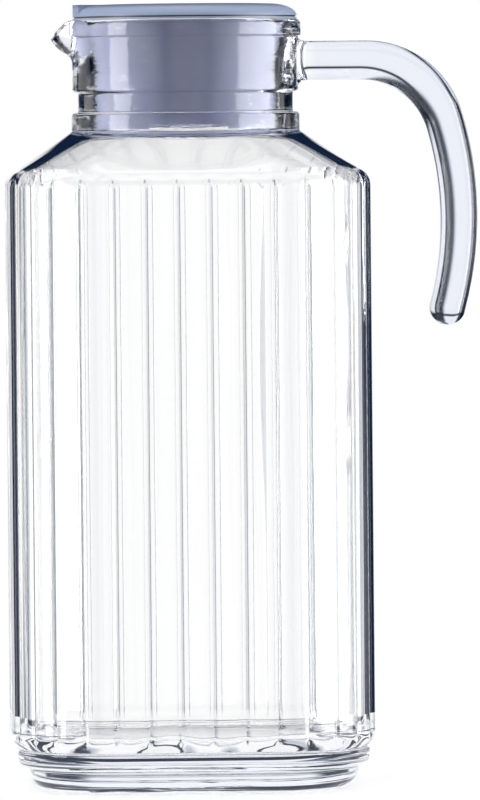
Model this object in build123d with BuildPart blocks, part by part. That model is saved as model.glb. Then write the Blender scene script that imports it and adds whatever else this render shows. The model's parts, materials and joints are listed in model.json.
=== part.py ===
from build123d import *
import math
import os

# Sizes are in millimetres. The jug stands on z = 0 around the Z axis, its handle
# points to +X and its pouring beak to -X.

# Fluted body, square in plan with round corners
body_width = 115.0
body_height = 180.6
corner_radius = 33.0
flute_count = 40
flute_depth = 0.6
flute_margin = 0.12
body_lower_round = 6.0
body_sink = 0.9

# Foot and the band above it
foot_width = 103.0
foot_height = 7.6
foot_round = 4.4
band_width = 111.4
band_height = 5.4
band_round = 3.4
band_chamfer = 0.5
push_up_diameter = 76.0
push_up_flat = 40.0
push_up_height = 2.4

# Shoulder between the square body and the round neck
shoulder_height = 14.6
shoulder_chamfer = 1.6

# Neck, from the collar up to the rim
collar_diameter = 72.8
collar_height = 5.9
groove_diameter = 68.6
groove_height = 6.5
neck_diameter = 72.2
neck_height = 17.6
rim_diameter = 74.0
rim_height = 5.4
rim_chamfer = 1.0
groove_chamfer = 0.5

# Inside of the glass
wall = 3.6
base_thickness = 15.0
floor_chamfer = 5.0
cavity_shoulder_chamfer = 2.0
bore_diameter = 57.8
mouth_diameter = 65.2
mouth_depth = 17.6

# Pouring beak
beak_nose_radius = 9.1
beak_nose_reach = 2.5
beak_nose_drop = 2.1
beak_half_angle = 36.0
beak_wall = 2.0
beak_lip_slope = 41.0

# Handle
handle_drop = 7.1
handle_thickness = 12.4
handle_depth = 15.0
handle_round = 4.6
handle_top_run = 57.6
handle_run_step = 2.0
handle_bend_radius = 31.8
handle_bend_step = 9.5
handle_bend_angle = 73.8
handle_grip_radius = 116.3
handle_grip_step = 13.4
handle_grip_angle = 34.3
handle_end_fullness = 0.47
handle_flare = 3.0

# Lid
lid_clearance = 0.4
lid_diameter = 71.4
lid_ring_height = 1.1
lid_ring_groove = 0.5
lid_crown_height = 3.8
lid_crown_edge = 1.2
lid_crown_width = 8.2
lid_skirt_length = 35.1
lid_wall = 1.8
lid_deck = 2.2
lid_tab_angle = 32.0
lid_notch_width = 23.0
lid_notch_height = 1.6
grip_bar_width = 10.0
grip_well_diameter = 44.0
grip_well_depth = 15.0
grip_well_round = 3.0

# Levels, from the table up
band_z = foot_height
body_z = band_z + band_height
shoulder_z = body_z + body_height
collar_z = shoulder_z + shoulder_height
groove_z = collar_z + collar_height
neck_z = groove_z + groove_height
rim_z = neck_z + neck_height
rim_top = rim_z + rim_height

body_half = body_width / 2
collar_radius = collar_diameter / 2
neck_radius = neck_diameter / 2
rim_radius = rim_diameter / 2
bore_radius = bore_diameter / 2
mouth_radius = mouth_diameter / 2
flat_half = body_half - corner_radius
quarter_length = 2 * flat_half + math.radians(90) * corner_radius


def square_outline(width):
    """Fill a square plan whose corners are concentric with those of the body."""
    half = width / 2
    radius = half - flat_half
    with BuildLine() as outline:
        for quarter in range(4):
            turn = 90 * quarter
            Line(
                Vector(half, -flat_half).rotate(Axis.Z, turn),
                Vector(half, flat_half).rotate(Axis.Z, turn),
            )
            CenterArc(Vector(flat_half, flat_half).rotate(Axis.Z, turn), radius, turn, 90)
    make_face(outline.edges())


def round_outline(radius, half_angle):
    """Fill a circle cut into the same eight edges as the square plan."""
    with BuildLine() as outline:
        for quarter in range(4):
            turn = 90 * quarter
            CenterArc((0, 0), radius, turn - half_angle, 2 * half_angle)
            CenterArc((0, 0), radius, turn + half_angle, 90 - 2 * half_angle)
    make_face(outline.edges())


def around_body(distance):
    """Give a point of the body plan and its outward direction, from the middle of +X."""
    quarter, rest = divmod(distance + flat_half, quarter_length)
    turn = 90 * quarter
    if rest < 2 * flat_half:
        point = Vector(body_half, rest - flat_half)
        outward = Vector(1, 0)
    else:
        angle = math.degrees((rest - 2 * flat_half) / corner_radius)
        outward = Vector(1, 0).rotate(Axis.Z, angle)
        point = Vector(flat_half, flat_half) + outward * corner_radius
    return point.rotate(Axis.Z, turn), outward.rotate(Axis.Z, turn)


def edges_at(part, level):
    """Choose the edges that lie in one level plane."""
    return part.edges().filter_by_position(Axis.Z, level - 0.01, level + 0.01)


def corners_at(profile, level):
    """Choose the corners of an upright profile that lie at one level."""
    return profile.vertices().filter_by_position(Axis.Y, level - 0.01, level + 0.01)


split_angle = math.degrees(math.atan2(flat_half, body_half))

# Smooth outer shape of the body and shoulder, standing just clear of the flute crests
envelope_width = body_width + 2 * flute_margin
with BuildPart() as body_envelope:
    with BuildSketch(Plane.XY.offset(body_z - body_sink)):
        square_outline(envelope_width)
    extrude(amount=body_height + body_sink)
    with BuildSketch(Plane.XY.offset(shoulder_z)):
        square_outline(envelope_width)
    with BuildSketch(Plane.XY.offset(collar_z)):
        round_outline(collar_radius, split_angle)
    loft(ruled=True)
    chamfer(edges_at(body_envelope, shoulder_z), shoulder_chamfer)
    fillet(edges_at(body_envelope, body_z - body_sink), body_lower_round)

# Fluted body: convex ribs side by side, finished by the smooth outer shape
pitch = 4 * quarter_length / flute_count
valleys = []
crests = []
for number in range(flute_count):
    crest, outward = around_body(number * pitch)
    crests.append(crest)
    edge, outward = around_body((number - 0.5) * pitch)
    valleys.append(edge - outward * flute_depth)
with BuildPart() as fluted_body:
    with BuildSketch(Plane.XY.offset(body_z - body_sink)):
        with BuildLine():
            for number in range(flute_count):
                following = valleys[(number + 1) % flute_count]
                ThreePointArc(valleys[number], crests[number], following)
        make_face()
    extrude(amount=body_sink + body_height + shoulder_height)
    add(body_envelope.part, mode=Mode.INTERSECT)

# Band under the body and foot under the band
with BuildPart() as band:
    with BuildSketch(Plane.XY.offset(band_z)):
        square_outline(band_width)
    extrude(amount=band_height)
    fillet(edges_at(band, band_z), band_round)
    chamfer(edges_at(band, body_z), band_chamfer)
with BuildPart() as foot:
    with BuildSketch():
        square_outline(foot_width)
    extrude(amount=foot_height + band_round)
    fillet(edges_at(foot, 0), foot_round)
    with Locations((0, 0, push_up_height / 2)):
        Cone(push_up_diameter / 2, push_up_flat / 2, push_up_height, mode=Mode.SUBTRACT)

# Round neck with collar, groove and rim, still solid
with BuildPart() as neck:
    with BuildSketch(Plane.XZ) as neck_profile:
        with BuildLine():
            Polyline(
                (0, shoulder_z),
                (collar_radius, shoulder_z),
                (collar_radius, groove_z),
                (groove_diameter / 2, groove_z),
                (groove_diameter / 2, neck_z),
                (neck_radius, neck_z),
                (neck_radius, rim_z),
                (rim_radius, rim_z),
                (rim_radius, rim_top),
                (0, rim_top),
                close=True,
            )
        make_face()
        chamfer(corners_at(neck_profile, groove_z), groove_chamfer)
        chamfer(corners_at(neck_profile, neck_z), groove_chamfer)
        chamfer(corners_at(neck_profile, rim_top).sort_by(Axis.X)[-1:], rim_chamfer)
    revolve(axis=Axis.Z)

# Beak: a round-nosed cone pushed out of the neck, cut off along a sloping lip
nose_x = -(rim_radius - beak_nose_reach)
nose_z = rim_top - beak_nose_drop
spread = math.radians(beak_half_angle)


def beak_cone(nose_radius):
    """Revolve a cone with a round nose about the level axis of the beak."""
    root_x = -bore_radius * 0.7
    tangent_x = nose_x - nose_radius * math.sin(spread)
    tangent_r = nose_radius * math.cos(spread)
    root_r = tangent_r + (root_x - tangent_x) * math.tan(spread)
    with BuildSketch(Plane.XZ) as section:
        with BuildLine():
            Polyline(
                (nose_x - nose_radius, nose_z),
                (root_x, nose_z),
                (root_x, nose_z - root_r),
                (tangent_x, nose_z - tangent_r),
            )
            middle = math.radians((90 - beak_half_angle) / 2)
            ThreePointArc(
                (tangent_x, nose_z - tangent_r),
                (
                    nose_x - nose_radius * math.cos(middle),
                    nose_z - nose_radius * math.sin(middle),
                ),
                (nose_x - nose_radius, nose_z),
            )
        make_face()
    revolve(section.sketch, axis=Axis((0, 0, nose_z), (1, 0, 0)))


with BuildPart() as beak:
    beak_cone(beak_nose_radius)
    lip_run = 3 * beak_nose_radius
    lip_fall = lip_run * math.tan(math.radians(beak_lip_slope))
    with BuildSketch(Plane.XZ):
        with BuildLine():
            Polyline(
                (0, neck_z),
                (0, rim_top),
                (-rim_radius, rim_top),
                (-rim_radius - lip_run, rim_top - lip_fall),
                (-rim_radius - lip_run, rim_top - 2 * lip_fall),
                close=True,
            )
        make_face()
    extrude(amount=rim_radius, both=True, mode=Mode.INTERSECT)

with BuildPart() as beak_channel:
    beak_cone(beak_nose_radius - beak_wall)

# Space inside the glass: square below, round bore and a tapered mouth above
cavity_width = body_width - 2 * (wall + flute_depth)
shoulder_slope = shoulder_height / (body_half - collar_radius)
shoulder_offset = (wall + flute_depth) * math.hypot(1, shoulder_slope)
cavity_shoulder_z = (
    shoulder_z + (body_half - cavity_width / 2) * shoulder_slope - shoulder_offset
)
bore_z = shoulder_z + (body_half - bore_radius) * shoulder_slope - shoulder_offset
with BuildPart() as cavity:
    with BuildSketch(Plane.XY.offset(base_thickness)):
        square_outline(cavity_width)
    extrude(amount=cavity_shoulder_z - base_thickness)
    with BuildSketch(Plane.XY.offset(cavity_shoulder_z)):
        square_outline(cavity_width)
    with BuildSketch(Plane.XY.offset(bore_z)):
        round_outline(bore_radius, split_angle)
    loft(ruled=True)
    chamfer(edges_at(cavity, cavity_shoulder_z), cavity_shoulder_chamfer)
    chamfer(edges_at(cavity, base_thickness), floor_chamfer)
    with BuildSketch(Plane.XZ):
        with BuildLine():
            Polyline(
                (0, bore_z),
                (bore_radius, bore_z),
                (bore_radius, rim_top - mouth_depth),
                (mouth_radius, rim_top),
                (0, rim_top),
                close=True,
            )
        make_face()
    revolve(axis=Axis.Z)

# Clear glass jug
with BuildPart() as glass_jug:
    add(fluted_body.part)
    add(band.part)
    add(foot.part)
    add(neck.part)
    add(beak.part)
    add(cavity.part, mode=Mode.SUBTRACT)
    add(beak_channel.part, mode=Mode.SUBTRACT)
glass_jug.part.label = "glass_jug"

# Hook handle, open at its lower end and fused to the side of the neck
handle_top = rim_top - handle_drop
handle_under = handle_top - handle_thickness
with BuildPart() as hook:
    with BuildSketch(Plane.XZ) as hook_outline:
        with BuildLine():
            top = Line((0, handle_top), (handle_top_run, handle_top))
            outer_bend = JernArc(top @ 1, top % 1, handle_bend_radius, -handle_bend_angle)
            outer_grip = JernArc(
                outer_bend @ 1, outer_bend % 1, handle_grip_radius, -handle_grip_angle
            )
            under = Line((0, handle_under), (handle_top_run - handle_run_step, handle_under))
            inner_bend = JernArc(
                under @ 1, under % 1, handle_bend_radius - handle_bend_step, -handle_bend_angle
            )
            inner_grip = JernArc(
                inner_bend @ 1,
                inner_bend % 1,
                handle_grip_radius - handle_grip_step,
                -handle_grip_angle,
            )
            end = Line(outer_grip @ 1, inner_grip @ 1)
            Line(top @ 0, under @ 0)
        make_face()
        end_round = end.length * handle_end_fullness
        fillet(hook_outline.vertices().sort_by(Axis.Y)[:2], end_round)
    extrude(amount=handle_depth / 2, both=True)
    rims = hook.edges().filter_by(Axis.Y, reverse=True)
    fillet(rims.filter_by_position(Axis.X, 1, rim_radius + handle_top_run * 2), handle_round)
with BuildPart() as handle:
    with Locations((0, 0, (handle_top + handle_under) / 2)):
        Cylinder(neck_radius, 4 * handle_thickness)
    add(hook.part)
    joint_reach = math.sqrt(neck_radius**2 - handle_depth**2 / 4)
    joint_edges = handle.edges().filter_by_position(Axis.X, joint_reach - 0.1, neck_radius + 0.1)
    fillet(joint_edges, handle_flare)
    with Locations((0, 0, (handle_top + handle_under) / 2)):
        Cylinder(neck_radius, 4 * handle_thickness, mode=Mode.SUBTRACT)
    add(neck.part, mode=Mode.SUBTRACT)
handle.part.label = "handle"

# Plug lid, moulded in one piece
lid_radius = lid_diameter / 2
crown_z = rim_top + lid_ring_height
lid_top = crown_z + lid_crown_height
mouth_slope = (mouth_radius - bore_radius) / mouth_depth
plug_radius = bore_radius - lid_clearance
plug_top = plug_radius + mouth_slope * mouth_depth
skirt_z = rim_top - lid_skirt_length
with BuildPart() as lid:
    with BuildSketch(Plane.XZ):
        with BuildLine():
            Polyline(
                (0, lid_top),
                (0, lid_top - lid_deck),
                (plug_top - lid_wall, lid_top - lid_deck),
                (plug_top - lid_wall, rim_top),
                (plug_radius - lid_wall, rim_top - mouth_depth),
                (plug_radius - lid_wall, skirt_z),
                (plug_radius, skirt_z),
                (plug_radius, rim_top - mouth_depth),
                (plug_top, rim_top),
                (lid_radius, rim_top),
                (lid_radius, crown_z - lid_ring_groove),
                (lid_radius - lid_ring_groove, crown_z - lid_ring_groove),
                (lid_radius - lid_ring_groove, crown_z),
                (lid_radius, crown_z),
                (lid_radius, lid_top),
                close=True,
            )
        make_face()
    revolve(axis=Axis.Z)
    # The crown is rounded off all the way round, but for the thumb tab above the beak
    with BuildSketch(Plane.XZ.rotated((0, 0, 180 + lid_tab_angle / 2))):
        with BuildLine():
            crown = TangentArc(
                (lid_radius - lid_crown_width, lid_top),
                (lid_radius, crown_z + lid_crown_edge),
                tangent=(1, 0),
            )
            Polyline(
                crown @ 1,
                (lid_radius + lid_wall, crown_z + lid_crown_edge),
                (lid_radius + lid_wall, lid_top + lid_wall),
                (lid_radius - lid_crown_width, lid_top + lid_wall),
                crown @ 0,
            )
        make_face()
    revolve(axis=Axis.Z, revolution_arc=360 - lid_tab_angle, mode=Mode.SUBTRACT)
    # Two finger wells leave a bar to pull on
    for side in (-1, 1):
        with BuildSketch(Plane.XY.offset(lid_top - grip_well_depth - lid_wall)):
            Circle(grip_well_diameter / 2 + lid_wall)
            with Locations((0, side * (grip_well_diameter + grip_bar_width / 2 - lid_wall))):
                Rectangle(3 * grip_well_diameter, 2 * grip_well_diameter, mode=Mode.INTERSECT)
        extrude(amount=grip_well_depth + lid_wall)
    for side in (-1, 1):
        with BuildSketch(Plane.XY.offset(lid_top)) as well:
            Circle(grip_well_diameter / 2)
            with Locations((0, side * (grip_well_diameter + grip_bar_width / 2))):
                Rectangle(3 * grip_well_diameter, 2 * grip_well_diameter, mode=Mode.INTERSECT)
            fillet(well.vertices(), grip_well_round)
        extrude(amount=-grip_well_depth, mode=Mode.SUBTRACT)
    # Shallow notch in the lower edge of the skirt
    with BuildSketch(Plane.XY.offset(skirt_z)):
        with Locations((0, -bore_radius)):
            Rectangle(lid_notch_width, bore_radius)
    extrude(amount=lid_notch_height, mode=Mode.SUBTRACT)
lid.part.label = "lid"

os.makedirs("parts", exist_ok=True)
export_step(glass_jug.part, "parts/glass_jug.step")
export_step(handle.part, "parts/handle.step")
export_step(lid.part, "parts/lid.step")
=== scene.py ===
# %% [markdown]
# A square, fluted glass pitcher with an open hook handle and a plug lid.
# The CAD model is loaded as a fixed frame. Its triangles are too coarse for clear
# glass, where each facet bends the background, so glass and lid are modelled again
# here as smooth meshes at the same size and in the same place. Lengths are written
# in millimetres, and a finished piece is scaled to metres.

# %% Load the frame
import json
import math
import bmesh
import bpy
from mathutils import Matrix, Vector, noise

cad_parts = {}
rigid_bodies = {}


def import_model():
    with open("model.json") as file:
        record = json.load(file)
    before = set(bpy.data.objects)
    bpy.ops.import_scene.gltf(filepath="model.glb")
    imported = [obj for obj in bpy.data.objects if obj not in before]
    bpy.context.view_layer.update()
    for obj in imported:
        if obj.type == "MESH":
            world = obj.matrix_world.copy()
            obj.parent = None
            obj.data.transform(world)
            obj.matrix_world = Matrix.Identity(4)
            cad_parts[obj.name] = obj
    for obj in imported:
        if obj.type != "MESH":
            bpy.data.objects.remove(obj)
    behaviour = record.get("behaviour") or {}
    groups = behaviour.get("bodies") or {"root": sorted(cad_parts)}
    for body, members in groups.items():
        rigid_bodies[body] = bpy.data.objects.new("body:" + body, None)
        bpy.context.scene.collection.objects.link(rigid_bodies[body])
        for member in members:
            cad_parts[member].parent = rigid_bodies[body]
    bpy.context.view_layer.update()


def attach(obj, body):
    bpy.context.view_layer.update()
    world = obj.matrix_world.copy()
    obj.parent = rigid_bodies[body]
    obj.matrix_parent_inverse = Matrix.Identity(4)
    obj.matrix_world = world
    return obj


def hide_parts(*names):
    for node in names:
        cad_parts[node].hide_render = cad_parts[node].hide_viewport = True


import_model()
scene = bpy.context.scene
scene.view_settings.view_transform = "Standard"
MM = 0.001
RIGHT_ANGLE = math.radians(90)

# %% [markdown]
# These helpers serve every finish. Colours are written as sRGB hex, as a paint chart
# gives them, and Blender wants linear light. A node could be added by hand in several
# lines. One small function does it in one: it sets the node's own settings and fills
# its sockets with numbers or with what other nodes give out, so that a finish reads
# from top to bottom.

# %% Colour and node helpers
def linear(hex_colour):
    """Turn an sRGB hex colour into linear red, green, blue and alpha."""
    channels = [int(hex_colour[i : i + 2], 16) / 255 for i in (1, 3, 5)]
    return [c / 12.92 if c <= 0.04045 else ((c + 0.055) / 1.055) ** 2.4 for c in channels] + [1.0]


def add_node(tree, kind, links=None, **settings):
    """Add a node with its settings, and fill its sockets with values or other nodes' outputs.

    A node given as a link stands for its first output in use.
    """
    node = tree.nodes.new("ShaderNode" + kind)
    for name, value in settings.items():
        setattr(node, name, value)
    for socket, source in (links or {}).items():
        if isinstance(source, bpy.types.Node):
            source = next(output for output in source.outputs if output.enabled)
        if isinstance(source, bpy.types.NodeSocket):
            tree.links.new(source, node.inputs[socket])
        else:
            node.inputs[socket].default_value = source
    return node


def new_material(name):
    """Start an empty node material."""
    material = bpy.data.materials.new(name)
    material.use_nodes = True
    material.node_tree.nodes.clear()
    return material, material.node_tree


WHITE = linear("#ffffff")
print("mid grey as linear light:", round(linear("#808080")[0], 3))

# %% [markdown]
# The jug is soda-lime glass, pressed and blown, then fire-polished: clear, glossy, and
# a little blue where light takes a long way through it. One plain glass shader would
# do for a smooth bottle. This jug's neck and hook need their own treatment, so the
# finish first finds out where on the jug a point is. Each zone fades in between two
# places, given in millimetres.

# %% Glass: zones of the jug
glass_finish, glass_nodes = new_material("soda_lime_glass")
place = add_node(glass_nodes, "TexCoord").outputs["Object"]
axes = add_node(glass_nodes, "SeparateXYZ", {0: place}).outputs
flattened = add_node(glass_nodes, "VectorMath", {0: place, 1: (1, 1, 0)}, operation="MULTIPLY")
from_axis = add_node(glass_nodes, "VectorMath", {0: flattened}, operation="LENGTH")
aside = add_node(glass_nodes, "Math", {0: axes["X"]}, operation="ABSOLUTE")
zone = {}
for name, (value, start, end) in {
    "past_neck": (axes["X"], 37.5, 42),
    "past_body": (axes["X"], 59, 62),
    "above_body": (axes["Z"], 212, 214),
    "on_neck": (axes["Z"], 203, 210),
    "near_axis": (from_axis, 39, 37),
}.items():
    ends = {"Value": value, "From Min": start * MM, "From Max": end * MM}
    zone[name] = add_node(glass_nodes, "MapRange", ends)
top_run = add_node(
    glass_nodes, "Math", {0: zone["past_neck"], 1: zone["above_body"]}, operation="MULTIPLY"
)
on_hook = add_node(glass_nodes, "Math", {0: top_run, 1: zone["past_body"]}, operation="MAXIMUM")
print("zones of the glass:", ", ".join(zone))

# %% [markdown]
# The neck has fine level streaks that the smooth body lacks, such as turning in a mould
# leaves. They could be modelled, but they are too fine for a mesh, so a noise that is
# stretched round the neck gives the surface a bump.

# %% Glass: streaks of the neck
STREAK_LONG, STREAK_HIGH = 12.0, 1.7
STREAK_DEEP, STREAK_SHALLOW = 0.25, 0.12
DEEP_UNTIL, SHALLOW_FROM = 220, 226
streak_scale = (1 / (STREAK_LONG * MM), 1 / (STREAK_LONG * MM), 1 / (STREAK_HIGH * MM))
stretched = add_node(glass_nodes, "Mapping", {"Vector": place, "Scale": streak_scale})
streaks = add_node(glass_nodes, "TexNoise", {"Vector": stretched, "Scale": 1.0, "Detail": 3.0})
streaked = add_node(
    glass_nodes, "Math", {0: zone["near_axis"], 1: zone["on_neck"]}, operation="MULTIPLY"
)
streak_height = add_node(glass_nodes, "Math", {0: streaks, 1: streaked}, operation="MULTIPLY")
streak_depth = add_node(
    glass_nodes,
    "MapRange",
    {
        "Value": axes["Z"],
        "From Min": DEEP_UNTIL * MM,
        "From Max": SHALLOW_FROM * MM,
        "To Min": STREAK_DEEP * MM,
        "To Max": STREAK_SHALLOW * MM,
    },
)
drawn = add_node(
    glass_nodes, "Bump", {"Height": streak_height, "Strength": 1.0, "Distance": streak_depth}
)
print("streaks in mm:", STREAK_LONG, "long,", STREAK_HIGH, "high")

# %% [markdown]
# Where the neck turns away, its edges are nearly black with a few light streaks. Followed through every
# mirroring, a ray comes out grey there. So for a ray that has been mirrored once, the glass colour is
# painted nearly black instead, apart from the streaks: this is painted shade that stands in for the dark
# lines. Light that the lid has scattered is left out of the count, because the lid would go dark behind the
# glass.

# %% Glass: painted shade lines of the neck
# A depth above this is at least one, and one scattering outweighs all mirrorings.
AT_LEAST_ONCE = 0.5
SCATTERED_OUT = -9.0
STREAK_EDGE, LINE_EDGE, STREAK_SHARE = 0.64, 0.6, 0.3
glass_path = add_node(glass_nodes, "LightPath").outputs
mirrorings = add_node(
    glass_nodes,
    "Math",
    {0: glass_path["Diffuse Depth"], 1: SCATTERED_OUT, 2: glass_path["Glossy Depth"]},
    operation="MULTIPLY_ADD",
)
bounced = add_node(glass_nodes, "Math", {0: mirrorings, 1: AT_LEAST_ONCE}, operation="GREATER_THAN")
between = add_node(
    glass_nodes,
    "MapRange",
    {"Value": streaks, "From Min": STREAK_EDGE, "From Max": LINE_EDGE, "To Min": STREAK_SHARE},
)
# The neck's dark lines are painted shade: the glass colour goes near black here.
painted_neck_shade = add_node(
    glass_nodes, "Math", {0: zone["on_neck"], 1: zone["past_neck"]}, operation="SUBTRACT"
)
for share in (between, bounced):
    painted_neck_shade = add_node(glass_nodes, "Math", {0: painted_neck_shade, 1: share}, operation="MULTIPLY")
print("dark share between streaks: 1.0, on them:", STREAK_SHARE)

# %% [markdown]
# The surface is smooth glass with an index of 1.52. A coloured surface would tint thin and thick glass
# alike, so the cool cast is an absorption in the volume, which only a long way through the glass shows. The
# hook is tinted lavender on its surface besides. The neck's dark lines are painted shade, mixed into the
# surface colour as near black.

# %% Glass: surface and depth
glass_colour = WHITE
# The last tint is painted shade, near black on the neck's dark lines.
for share, tint in ((on_hook, "#eef1fa"), (painted_neck_shade, "#04060c")):
    glass_colour = add_node(
        glass_nodes,
        "Mix",
        {"Factor": share, "A": glass_colour, "B": linear(tint)},
        data_type="RGBA",
    )
glass_surface = add_node(
    glass_nodes,
    "BsdfPrincipled",
    {
        "Base Color": glass_colour,
        "Roughness": 0.0,
        "IOR": 1.52,
        "Transmission Weight": 1.0,
        "Normal": drawn,
    },
)
glass_depth = add_node(glass_nodes, "VolumeAbsorption", {"Color": linear("#b9cbe6"), "Density": 2.5})
print("index of the glass:", glass_surface.inputs["IOR"].default_value)

# %% [markdown]
# Inside thick glass a ray can be mirrored again and again, and what it sees at last is a
# grey mixture. Real glass has no limit there. Here the ray is let out straight once it
# has been mirrored a set number of times, because that keeps the lines of the base
# crisp. Each limit rises between two places, and the largest one counts.

# %% Glass: rays let out
KEPT_MIRRORINGS = {
    "foot": (axes["Z"], 6, 4, 0.5, 1.5),
    "body": (axes["Z"], 12.5, 14, 0.0, 2.5),
    "side": (aside, 40, 44, 0.0, 2.5),
}
allowed = 0.0
for value, start, end, few, many in KEPT_MIRRORINGS.values():
    ends = {"Value": value, "From Min": start * MM, "From Max": end * MM}
    limit = add_node(glass_nodes, "MapRange", {**ends, "To Min": few, "To Max": many})
    allowed = add_node(glass_nodes, "Math", {0: allowed, 1: limit}, operation="MAXIMUM")
trapped = add_node(
    glass_nodes, "Math", {0: glass_path["Glossy Depth"], 1: allowed}, operation="GREATER_THAN"
)
way_out = add_node(glass_nodes, "BsdfTransparent")
freed = add_node(glass_nodes, "MixShader", {0: trapped, 1: glass_surface, 2: way_out})
add_node(glass_nodes, "OutputMaterial", {"Surface": freed, "Volume": glass_depth})
print(glass_finish.name, "nodes:", len(glass_nodes.nodes))

# %% [markdown]
# The lid is moulded low-density polyethylene, tinted a lavender grey. It is waxy: light goes in, scatters
# and comes out a few millimetres away. The thin skirt is a little cloudy. The rest of its colour by height
# is painted light and shade. The skirt is kept paler, as painted light through its thin wall. The crown is
# painted darker and bluer as shade, and the flat top is painted darker still. The groove under the crown
# holds a painted shadow line.

# %% Lid plastic: colour and painted shade by height
CLOUD_SIZE = 14.0
GROOVE_SHADOW_LEVEL, GROOVE_SHADOW_HALF = 244.45, 0.25
lid_finish, lid_nodes = new_material("lavender_polyethylene")
lid_place = add_node(lid_nodes, "TexCoord").outputs["Object"]
lid_up = add_node(lid_nodes, "SeparateXYZ", {0: lid_place}).outputs["Z"]
cloud = add_node(
    lid_nodes, "TexNoise", {"Vector": lid_place, "Scale": 1 / (CLOUD_SIZE * MM), "Detail": 3.0}
)
# Where the crown and the flat top are painted darker as shade.
crown_painted_shade, top_painted_shade = [
    add_node(lid_nodes, "MapRange", {"Value": lid_up, "From Min": start * MM, "From Max": end * MM})
    for start, end in ((243.0, 244.4), (247.2, 248.3))
]
# The dark line in the groove under the crown is a painted shadow.
groove_painted_shadow = add_node(
    lid_nodes,
    "Math",
    {0: lid_up, 1: GROOVE_SHADOW_LEVEL * MM, 2: GROOVE_SHADOW_HALF * MM},
    operation="COMPARE",
)
# The base is the lid's lavender grey, kept paler on the skirt as painted light; the tints below paint shade
# on the crown, the flat top and the groove.
lid_colour = linear("#b3b9d0")
for share, tint in (
    (cloud, "#babfd8"),
    (crown_painted_shade, "#a0aeca"),
    (top_painted_shade, "#6f7993"),
    (groove_painted_shadow, "#3f475c"),
):
    lid_colour = add_node(
        lid_nodes, "Mix", {"Factor": share, "A": lid_colour, "B": linear(tint)}, data_type="RGBA"
    )
print("clouds of the lid in mm:", CLOUD_SIZE)

# %% [markdown]
# A moulded skin has a soft sheen, which comes from the fine grain of the mould. A number
# for the roughness alone would look too even. Such a grain is about a tenth of a
# millimetre, which would not show here, so it is drawn at 0.9 mm and very shallow.

# %% Lid plastic: skin
GRAIN_SIZE, GRAIN_DEPTH = 0.9, 0.05
SCATTER = 2.5
skin = add_node(
    lid_nodes, "TexNoise", {"Vector": lid_place, "Scale": 1 / (GRAIN_SIZE * MM), "Detail": 2.0}
)
grain = add_node(lid_nodes, "Bump", {"Height": skin, "Strength": 0.12, "Distance": GRAIN_DEPTH * MM})
lid_surface = add_node(
    lid_nodes,
    "BsdfPrincipled",
    {
        "Base Color": lid_colour,
        "Roughness": 0.36,
        "IOR": 1.51,
        "Subsurface Weight": 0.4,
        "Subsurface Radius": (1.0, 1.0, 1.2),
        "Subsurface Scale": SCATTER * MM,
        "Normal": grain,
    },
)
add_node(lid_nodes, "OutputMaterial", {"Surface": lid_surface})
print(lid_finish.name, "nodes:", len(lid_nodes.nodes))

# %% [markdown]
# The body's plan is a square with round corners, wrapped in forty convex flutes. It
# could be cut from a block, flute by flute, but the mesh would be uneven. Here one
# number, the turn, says where a point is on the way round: whole numbers are flute
# crests and halves are the valleys. Each ring of the mesh has the same turns, so the
# flutes run straight up, and the same columns go on over the shoulder, where the
# square becomes a circle, into the neck, over the rim and down the inside.

# %% Plan of the body
BODY_HALF = 57.5
FLAT_HALF = 24.5
CORNER = BODY_HALF - FLAT_HALF
FLUTES = 40
QUARTER = 2 * FLAT_HALF + RIGHT_ANGLE * CORNER
PITCH = 4 * QUARTER / FLUTES
SPLIT = math.atan2(FLAT_HALF, BODY_HALF)


def plan_direction(turn):
    """Where a turn lies: centre of its arc, outward direction, and angle on the round neck."""
    quarter, rest = divmod(turn * PITCH + FLAT_HALF, QUARTER)
    spin = RIGHT_ANGLE * quarter
    if rest < 2 * FLAT_HALF:
        along = rest - FLAT_HALF
        centre, outward = Vector((FLAT_HALF, along, 0)), Vector((1, 0, 0))
        angle = SPLIT * along / FLAT_HALF
    else:
        share = (rest - 2 * FLAT_HALF) / (QUARTER - 2 * FLAT_HALF)
        bend = RIGHT_ANGLE * share
        centre, outward = Vector((FLAT_HALF, FLAT_HALF, 0)), Vector((math.cos(bend), math.sin(bend), 0))
        angle = SPLIT + (RIGHT_ANGLE - 2 * SPLIT) * share
    turned = Matrix.Rotation(spin, 3, "Z")
    return turned @ centre, turned @ outward, angle + spin


print("flute pitch in mm:", round(PITCH, 2))

# %% [markdown]
# A flute is a broad, nearly flat rib that falls steeply into a narrow valley. A sine
# would make soft waves, which glass shows as wide grey bands, so a high power draws the
# rib and a short parabola rounds the valley. More columns stand near the valley, where
# the surface turns fastest.

# %% Flutes
FLUTE_DEPTH = 0.6
VALLEY_SHARE = 0.06
RIB_POWER = 5
FLUTE_SOFT = 0.25
FLUTE_STEPS = (0.0, 0.4, 0.68, 0.84, 0.94, 0.97)


def soft_max(a, b, width):
    """The larger of two lengths, rounded where they are close."""
    return max(a, b) + max(width - abs(a - b), 0) ** 2 / (4 * width)


def flute_inset(turn):
    """How far a turn lies inside the crests."""
    way = abs(turn - round(turn)) * 2
    start = 1 - VALLEY_SHARE
    if way > start:
        over = way - start
        slope = RIB_POWER * start ** (RIB_POWER - 1)
        return FLUTE_DEPTH * (start**RIB_POWER + slope * over * (1 - over / (2 * VALLEY_SHARE)))
    return FLUTE_DEPTH * way**RIB_POWER


def square_point(turn, half, z, fluted=False):
    """A point of the square plan of a given half width, with or without flutes."""
    centre, outward, _ = plan_direction(turn)
    inset = BODY_HALF - half
    if fluted:
        inset = soft_max(inset, flute_inset(turn), FLUTE_SOFT) if inset > 0 else flute_inset(turn)
    point = centre + outward * (CORNER - inset)
    return Vector((point.x, point.y, z))


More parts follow.
